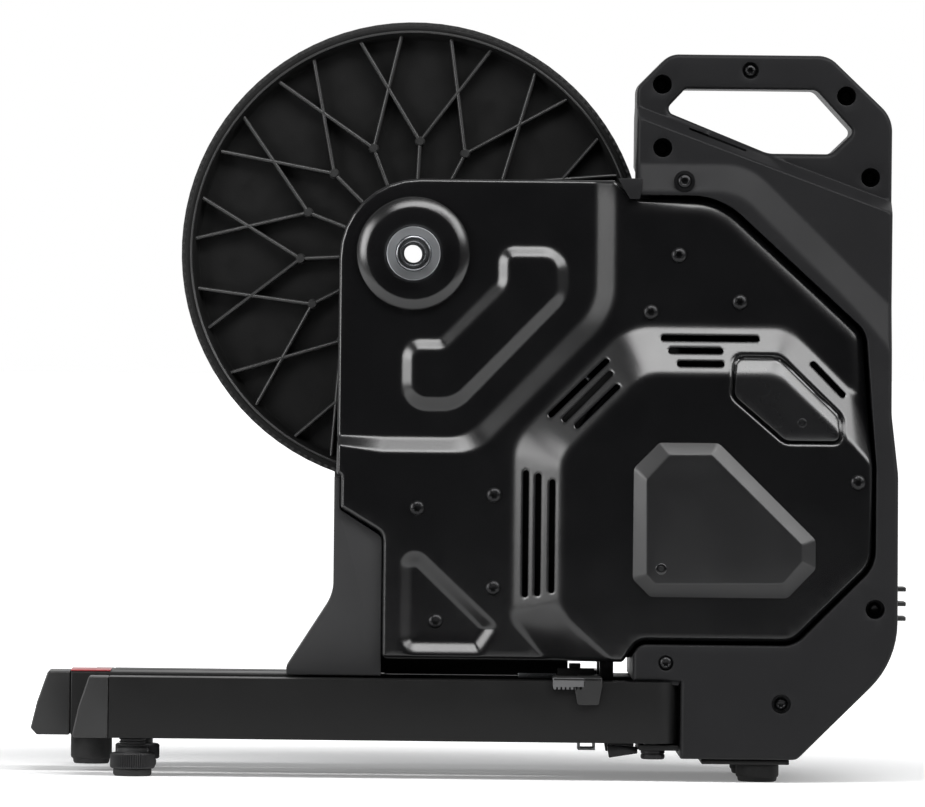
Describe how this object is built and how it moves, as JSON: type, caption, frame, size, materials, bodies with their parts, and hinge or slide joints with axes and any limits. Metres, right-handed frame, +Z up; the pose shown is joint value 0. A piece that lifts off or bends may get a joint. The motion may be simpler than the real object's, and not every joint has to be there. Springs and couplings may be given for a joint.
{
  "type": "direct drive bike trainer",
  "caption": "Wheel-off indoor bike trainer folded for storage: belt-driven flywheel in a pressed frame, cassette, carry handle and folding legs with screw feet.",
  "frame": {"origin": "on the floor under the centre of the whole trainer's box", "axes": "+X from the bike's front to its rear, along the base beam; +Y to the bike's drive side, along the wheel axle; +Z up"},
  "size_m": [0.5718, 0.19, 0.4929],
  "materials": {
    "gloss_black_paint": "gloss",
    "satin_black_paint": "satin",
    "cast_pulley": "matt black coat",
    "moulded_plastic": "fine grain",
    "dark_plastic": "matt",
    "grey_plastic": "matt",
    "red_accent": "satin",
    "circuit_board": "solder mask",
    "rubber": "matt",
    "cast_iron": "turned",
    "bright_steel": "satin",
    "black_steel": "black oxide",
    "aluminium": "satin"
  },
  "bodies": {
    "stand": {"base_beam": "satin_black_paint", "beam_front_cap": "dark_plastic", "beam_accent_strip": "red_accent", "beam_front_foot": "rubber", "beam_clip": "grey_plastic", "leg_crossmember": "satin_black_paint", "rear_foot_plate": "satin_black_paint", "left_rear_foot": "rubber", "right_rear_foot": "rubber", "left_frame_panel": "gloss_black_paint", "right_frame_plate": "satin_black_paint", "front_gusset": "satin_black_paint", "left_shell": "moulded_plastic", "right_shell": "moulded_plastic", "badge_cover": "moulded_plastic", "inlay_cover": "moulded_plastic", "cable_guide": "dark_plastic", "power_socket": "black_steel", "hub_axle": "bright_steel", "axle_boss": "gloss_black_paint", "left_end_cap": "aluminium", "right_end_cap": "aluminium", "left_hub_bearing": "bright_steel", "right_hub_bearing": "bright_steel", "drive_belt": "rubber", "left_flywheel_bearing": "bright_steel", "right_flywheel_bearing": "bright_steel", "tensioner_arm": "black_steel", "brake_motor": "black_steel", "circuit_board": "circuit_board", "left_pivot_bolt": "black_steel", "right_pivot_bolt": "black_steel", "left_catch_post": "black_steel", "right_catch_post": "black_steel"},
    "pulley": {"drive_pulley": "cast_pulley"},
    "cassette": {"freehub_body": "aluminium", "cassette_large_cluster": "bright_steel", "cassette_middle_cluster": "bright_steel", "sprocket_13t": "bright_steel", "sprocket_12t": "bright_steel", "sprocket_11t": "bright_steel", "cassette_lockring": "black_steel"},
    "flywheel_group": {"flywheel": "cast_iron", "flywheel_shaft": "bright_steel", "flywheel_pulley": "aluminium"},
    "idler": {"idler_roller": "dark_plastic"},
    "magnets": {"magnet_carrier": "aluminium"},
    "magnet_screw": {"brake_screw": "bright_steel"},
    "left_leg": {"left_leg_tube": "satin_black_paint", "left_leg_cap": "dark_plastic"},
    "right_leg": {"right_leg_tube": "satin_black_paint", "right_leg_cap": "dark_plastic"},
    "left_pad": {"left_foot_pad": "rubber"},
    "right_pad": {"right_foot_pad": "rubber"},
    "left_knob": {"left_foot_knob": "dark_plastic"},
    "right_knob": {"right_foot_knob": "dark_plastic"},
    "left_lever": {"left_lock_lever": "dark_plastic"},
    "right_lever": {"right_lock_lever": "dark_plastic"},
    "left_latch": {"left_detent_latch": "black_steel"},
    "right_latch": {"right_detent_latch": "black_steel"}
  },
  "joints": [
    {"name": "flywheel_spin", "type": "hinge", "parent": "stand", "child": "flywheel_group", "pos_m": [0.151, 0, 0.186], "axis": [0, 1, 0], "continuous": true},
    {"name": "pulley_spin", "type": "hinge", "parent": "stand", "child": "pulley", "pos_m": [-0.039, 0, 0.341], "axis": [0, 1, 0], "continuous": true},
    {"name": "idler_spin", "type": "hinge", "parent": "stand", "child": "idler", "pos_m": [0.05518, 0, 0.16317], "axis": [0, 1, 0], "continuous": true},
    {"name": "freehub_spin", "type": "hinge", "parent": "pulley", "child": "cassette", "pos_m": [-0.039, 0, 0.341], "axis": [0, 1, 0], "continuous": true},
    {"name": "magnet_swing", "type": "hinge", "parent": "stand", "child": "magnets", "pos_m": [0.05514, 0, 0.20638], "axis": [0, -1, 0], "range_deg": [0, 4]},
    {"name": "magnet_screw_travel", "type": "slide", "parent": "stand", "child": "magnet_screw", "axis": [-0.7071, 0, 0.7071], "range_m": [0, 0.0042]},
    {"name": "left_leg_swing", "type": "hinge", "parent": "stand", "child": "left_leg", "pos_m": [0.1195, -0.076, 0.045], "axis": [0, 0, 1], "range_deg": [0, 45]},
    {"name": "right_leg_swing", "type": "hinge", "parent": "stand", "child": "right_leg", "pos_m": [0.1195, 0.076, 0.045], "axis": [0, 0, -1], "range_deg": [0, 45]},
    {"name": "left_foot_height", "type": "slide", "parent": "left_leg", "child": "left_pad", "axis": [0, 0, -1], "range_m": [-0.006, 0.01]},
    {"name": "right_foot_height", "type": "slide", "parent": "right_leg", "child": "right_pad", "axis": [0, 0, -1], "range_m": [-0.006, 0.01]},
    {"name": "left_knob_turn", "type": "hinge", "parent": "left_pad", "child": "left_knob", "pos_m": [-0.218, -0.076, 0.01], "axis": [0, 0, -1], "range_deg": [-1090, 1810]},
    {"name": "right_knob_turn", "type": "hinge", "parent": "right_pad", "child": "right_knob", "pos_m": [-0.218, 0.076, 0.01], "axis": [0, 0, -1], "range_deg": [-1090, 1810]},
    {"name": "left_lever_lift", "type": "hinge", "parent": "left_leg", "child": "left_lever", "pos_m": [0.07, -0.0595, 0.066], "axis": [-1, 0, 0], "range_deg": [0, 15], "stiffness_Nm_per_rad": 0.3, "springref_deg": -8.59},
    {"name": "right_lever_lift", "type": "hinge", "parent": "right_leg", "child": "right_lever", "pos_m": [0.07, 0.0595, 0.066], "axis": [1, 0, 0], "range_deg": [0, 15], "stiffness_Nm_per_rad": 0.3, "springref_deg": -8.59},
    {"name": "left_latch_pull", "type": "hinge", "parent": "stand", "child": "left_latch", "pos_m": [0.1102, -0.051, 0.0211], "axis": [0, -1, 0], "range_deg": [0, 12], "stiffness_Nm_per_rad": 0.2, "springref_deg": -8.59},
    {"name": "right_latch_pull", "type": "hinge", "parent": "stand", "child": "right_latch", "pos_m": [0.1102, 0.051, 0.0211], "axis": [0, -1, 0], "range_deg": [0, 12], "stiffness_Nm_per_rad": 0.2, "springref_deg": -8.59}
  ],
  "couplings": [
    {"joint": "pulley_spin", "follows": "flywheel_spin", "ratio": 0.118},
    {"joint": "idler_spin", "follows": "flywheel_spin", "ratio": -1.2714},
    {"joint": "magnet_screw_travel", "follows": "magnet_swing", "m_per_rad": 0.0559},
    {"joint": "left_knob_turn", "follows": "left_foot_height", "rad_per_m": 3141.6},
    {"joint": "right_knob_turn", "follows": "right_foot_height", "rad_per_m": 3141.6}
  ]
}
